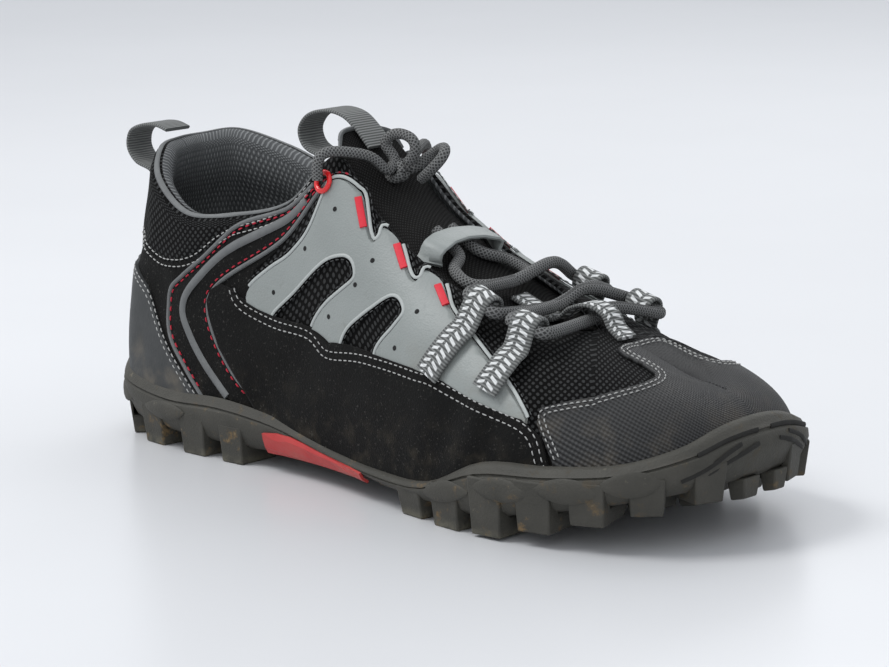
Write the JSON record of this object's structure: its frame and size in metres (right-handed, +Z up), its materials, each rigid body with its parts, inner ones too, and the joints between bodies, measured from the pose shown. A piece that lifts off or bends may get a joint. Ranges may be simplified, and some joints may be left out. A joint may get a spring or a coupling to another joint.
{
  "type": "cycling shoe",
  "caption": "Low lace-up trail cycling shoe for the right foot, hollow padded upper on a lugged rubber cup sole with a recessed cleat pocket.",
  "frame": {"origin": "on the ground under the middle of the shoe's overall box, pull loop included", "axes": "+X towards the toe, -Y the lateral (outer) side of a right shoe, +Z up"},
  "size_m": [0.2942, 0.1084, 0.1247],
  "materials": {
    "sole_rubber": "matt, dusty",
    "red_rubber": "satin",
    "plate_steel": "satin",
    "insole_foam": "matt",
    "black_suede": "napped",
    "toe_cloth": "ribbed",
    "heel_rubber": "satin",
    "grey_panel": "smooth, light sheen",
    "tongue_cloth": "woven",
    "grey_webbing": "ribbed",
    "red_enamel": "gloss",
    "grey_lace": "woven"
  },
  "bodies": {
    "root": {"outsole": "sole_rubber", "arch_insert_lateral": "red_rubber", "arch_insert_medial": "red_rubber", "cleat_plate": "plate_steel", "insole": "insole_foam", "upper": "black_suede", "toe_cap": "toe_cloth", "heel_counter": "heel_rubber", "eyestay_lateral": "grey_panel", "eyestay_medial": "grey_panel", "tongue": "tongue_cloth", "tongue_keeper": "grey_webbing", "tongue_pull_loop": "grey_webbing", "heel_pull_loop": "grey_webbing", "lace_loop_lateral_1": "grey_webbing", "lace_loop_lateral_2": "grey_webbing", "lace_loop_medial_1": "grey_webbing", "lace_loop_medial_2": "grey_webbing", "vamp_webbing": "grey_webbing", "eyelet_lateral": "red_enamel", "eyelet_medial": "red_enamel", "lace_crossings": "grey_lace", "lace_run_lateral": "grey_lace", "lace_run_medial": "grey_lace", "lace_knot": "grey_lace", "lace_bow_front": "grey_lace", "lace_bow_rear": "grey_lace"}
  },
  "joints": []
}
